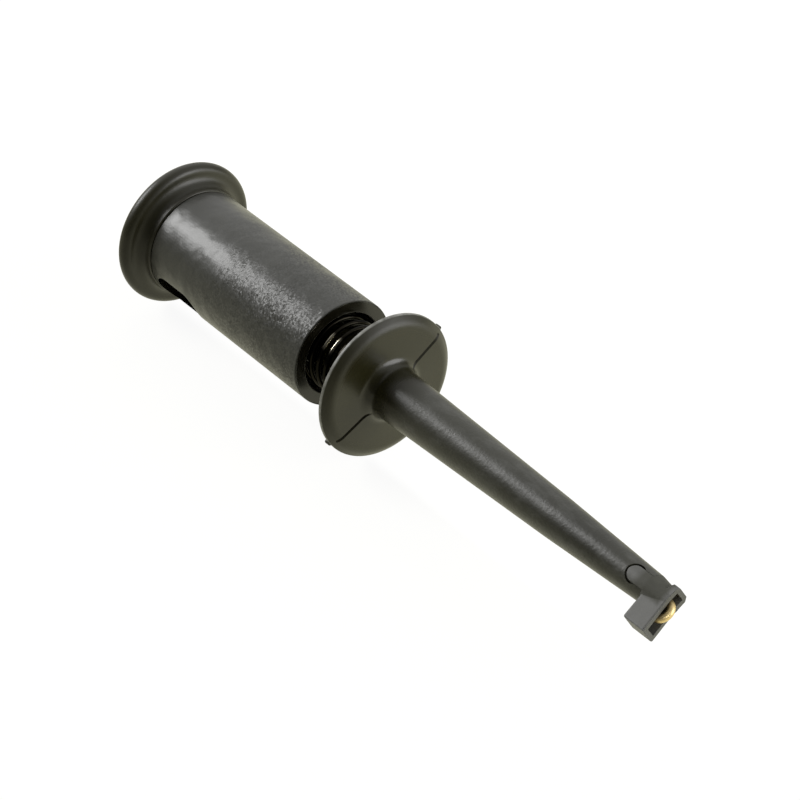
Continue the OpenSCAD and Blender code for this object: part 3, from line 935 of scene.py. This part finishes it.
terminal = turned_piece("terminal", [
    (0, CUP_FLOOR, 0),
    (TERM_R - CUP_WALL, CUP_FLOOR, CUP_ROUND),
    (TERM_R - CUP_WALL, CUP_REAR, END_ROUND),
    (TERM_R, CUP_REAR, END_ROUND),
    (TERM_R, CUP_FLOOR, CUP_ROUND),
    (TERM_FLANGE_R, CUP_FLOOR, TERM_FLANGE_ROUND),
    (TERM_FLANGE_R, WEB_REAR, TERM_FLANGE_ROUND),
    (TERM_R, WEB_REAR, 0),
    (TERM_R, WEB_FRONT, END_ROUND),
    (WIRE_R + CRIMP_FIT, WEB_FRONT, 0),
    (WIRE_R + CRIMP_FIT, WEB_REAR, 0),
    (0, WEB_REAR, 0),
], closed=False)
smooth_shading(terminal)
lay_down(terminal)
hand_over(terminal, "hook_terminal", "plunger", BRASS_FINISH)

# %% [markdown]
# ## Return spring
# The spring sits between the web and the dish of the flange, and two of its coils glint in the barrel's
# mouth. A Screw modifier would wind it with one pitch all along, but a real spring has a closed turn at
# each end. So a loop works out its middle line, and a round bevel on that curve is the wire. It becomes
# a mesh with its own data.

# %% Wind the spring
# The glint on two coils in the mouth is a painted glint in the spring's finish, not shaped here.
SPRING_R, SPRING_WIRE_R, SPRING_FIT = 2.73, 0.2, 0.03
OPEN_TURNS, TURN_POINTS = 17, 40
END_PITCH = 0.46
SPRING_REAR = WEB_FRONT + SPRING_WIRE_R + SPRING_FIT
SPRING_SEAT = SEAT - SPRING_WIRE_R - SPRING_FIT
PITCH = (SPRING_SEAT - SPRING_REAR - 2 * END_PITCH) / OPEN_TURNS


def coil_height(turns):
    """Height of the wire's middle line after a number of turns."""
    opened = min(max(turns - 1, 0), OPEN_TURNS)
    return SPRING_REAR + opened * PITCH + (turns - opened) * END_PITCH


bpy.ops.object.select_all(action="DESELECT")
bpy.ops.curve.primitive_nurbs_path_add()
spring = bpy.context.object
spring.name = "spring"
line = spring.data
line.splines.clear()
coil = line.splines.new("POLY")
count = (OPEN_TURNS + 2) * TURN_POINTS
coil.points.add(count)
for i in range(count + 1):
    turn = 2 * math.pi * i / TURN_POINTS
    height = coil_height(i / TURN_POINTS)
    coil.points[i].co = (SPRING_R * math.cos(turn), SPRING_R * math.sin(turn), height, 1)
line.bevel_depth = SPRING_WIRE_R
line.bevel_resolution = 3
line.use_fill_caps = True
bpy.ops.object.convert(target="MESH")
spring = bpy.context.object
smooth_shading(spring, 40)
lay_down(spring)
hand_over(spring, "return_spring", "nose", SPRING_FINISH)

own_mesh(spring)

# %% [markdown]
# ## Camera
# The photograph was taken with a long lens from the front right, looking down by some 36 degrees. The
# camera is placed by its angles round the middle of the clip, and the aim is shifted a little, so that
# the clip sits in the picture as it does there.

# %% Place the camera
AZIMUTH, ELEVATION = math.radians(52.65), math.radians(35.66)
DISTANCE = 0.30766
AIM_RIGHT, AIM_UP = -0.94 * MM, 0.53 * MM
LENS_MM, SENSOR_MM = 198, 36
back = Vector((math.sin(AZIMUTH) * math.cos(ELEVATION), -math.cos(AZIMUTH) * math.cos(ELEVATION),
               math.sin(ELEVATION)))
right = Vector((math.cos(AZIMUTH), math.sin(AZIMUTH), 0))
up = back.cross(right)
middle = Vector(((cad_low.x + cad_high.x) / 2, AXIS.y, AXIS.z))
aim = middle + right * AIM_RIGHT + up * AIM_UP

bpy.ops.object.camera_add(location=aim + back * DISTANCE)
camera = bpy.context.object
camera.rotation_mode = "QUATERNION"
camera.rotation_quaternion = (-back).to_track_quat("-Z", "Y")
camera.data.lens = LENS_MM
camera.data.sensor_width = SENSOR_MM
camera.data.clip_start, camera.data.clip_end = 0.01, 20
bpy.context.scene.camera = camera
print("camera at", tuple(round(v, 4) for v in camera.location))

# %% [markdown]
# ## Studio
# The clip lies on a white sheet. To the camera the sheet is plain white with the clip's shadow on it,
# which a share of plain paper in its material keeps. In reflections it is a little warm, as bright as
# it looks behind the clip and darker in front of it, where the camera and its shadow would be, so that
# the black plastic keeps its depth.

# %% Floor
FLOOR_Z = cad_low.z
FLOOR_R = 4
SHEET_R, FADE_R = 0.16, 0.5
GLOW_NEAR, GLOW_FAR = 1.08, 0.35
FRONT_EDGE, REAR_EDGE = middle.y - 0.012, middle.y - 0.001
FRONT_GLOW, REAR_GLOW = 0.36, 1.05
SEEN_SHARE = 0.86

bpy.ops.mesh.primitive_circle_add(vertices=96, radius=FLOOR_R, fill_type="NGON",
                                  location=(middle.x, middle.y, FLOOR_Z))
floor = bpy.context.object
floor.name = "floor"
bpy.ops.object.transform_apply(location=True, rotation=True, scale=True)

sheet = bpy.data.materials.new("white_sheet")
sheet.use_nodes = True
tree = sheet.node_tree
tree.nodes.clear()
place = tree.nodes.new("ShaderNodeTexCoord").outputs["Object"]
off_middle = vector_step(tree, "DISTANCE", place, (middle.x, middle.y, FLOOR_Z))
fade = spread(tree, off_middle, SHEET_R, FADE_R, GLOW_NEAR, GLOW_FAR)
apart = tree.nodes.new("ShaderNodeSeparateXYZ")
tree.links.new(place, apart.inputs["Vector"])
behind = spread(tree, apart.outputs["Y"], FRONT_EDGE, REAR_EDGE, FRONT_GLOW, REAR_GLOW)

rays = tree.nodes.new("ShaderNodeLightPath").outputs
mirrored = either(tree, rays["Is Glossy Ray"], rays["Is Transmission Ray"])
share = spread(tree, either(tree, rays["Is Camera Ray"], mirrored), 0, 1, 0.0, SEEN_SHARE)
paper = tree.nodes.new("ShaderNodeBsdfDiffuse")
paper.inputs["Color"].default_value = (0.68, 0.67, 0.56, 1)
glow = tree.nodes.new("ShaderNodeEmission")
tint = blend_colours(tree, rays["Is Camera Ray"], (1.0, 0.98, 0.76), (1, 1, 1))
white = spread(tree, rays["Is Camera Ray"], 0, 1, 0.0, GLOW_NEAR)
tree.links.new(tint, glow.inputs["Color"])
tree.links.new(either(tree, product(tree, fade, behind), white), glow.inputs["Strength"])
mixed = tree.nodes.new("ShaderNodeMixShader")
out = tree.nodes.new("ShaderNodeOutputMaterial")
tree.links.new(share, mixed.inputs["Fac"])
tree.links.new(paper.outputs["BSDF"], mixed.inputs[1])
tree.links.new(glow.outputs["Emission"], mixed.inputs[2])
tree.links.new(mixed.outputs["Shader"], out.inputs["Surface"])
floor.data.materials.append(sheet)
print("white sheet at height", round(FLOOR_Z / MM, 2), "mm")

# %% [markdown]
# Three soft boxes light the clip. One stands behind the thumb cap and gives the streak along the barrel,
# a broad one on the right lights the flange and the finger's flank, and a small lamp with a snoot picks
# out the tip. One large box would be simpler, but black plastic shows little else than its reflections,
# so each large form has a light of its own.

# %% Lamps
def soft_box(name, target, towards, distance, size, power, spread_angle=180):
    """A round soft box that shines on a place from a direction, within an angle."""
    towards = Vector(towards).normalized()
    bpy.ops.object.light_add(type="AREA", location=target + towards * distance)
    lamp = bpy.context.object
    lamp.name = name
    lamp.rotation_mode = "QUATERNION"
    lamp.rotation_quaternion = (-towards).to_track_quat("-Z", "Y")
    lamp.data.shape = "DISK"
    lamp.data.size = size
    lamp.data.energy = power
    lamp.data.spread = math.radians(spread_angle)


grip = Vector((0.0, 0.0, 0.0))
soft_box("streak_light", middle, (-0.74, -0.37, 0.562), distance=0.45, size=0.2, power=1.22)
soft_box("side_light", middle, (0.78, 0.58, 0.22), distance=0.5, size=0.36, power=1.5)
soft_box("tip_light", grip, (0.75, -0.42, 0.51), distance=0.12, size=0.012, power=0.00013, spread_angle=9)

# %% [markdown]
# Around the lamps stands a room. A plain grey world would light the clip evenly and flatten it. Here the
# room is bright behind the clip and to the right of it, and dim towards the camera.

# %% Room
def bright_side(tree, way, start, dim, bright):
    """Strength of a room that is brightest in one direction."""
    direction = tree.nodes.new("ShaderNodeTexCoord").outputs["Generated"]
    facing = vector_step(tree, "DOT_PRODUCT", direction, Vector(way).normalized())
    return spread(tree, facing, start, 1.0, dim, bright)


world = bpy.data.worlds.new("studio")
world.use_nodes = True
tree = world.node_tree
tree.nodes.clear()
background = tree.nodes.new("ShaderNodeBackground")
rear_wall = bright_side(tree, (-0.72, 0.38, 0.58), start=0.2, dim=0.06, bright=1.25)
right_wall = bright_side(tree, (0.62, 0.46, 0.63), start=0.75, dim=0.0, bright=0.9)
tree.links.new(added(tree, rear_wall, right_wall), background.inputs["Strength"])
out = tree.nodes.new("ShaderNodeOutputWorld")
tree.links.new(background.outputs["Background"], out.inputs["Surface"])
bpy.context.scene.world = world
bpy.context.scene.view_settings.view_transform = "Standard"
print("room:", world.name, "with view transform", bpy.context.scene.view_settings.view_transform)
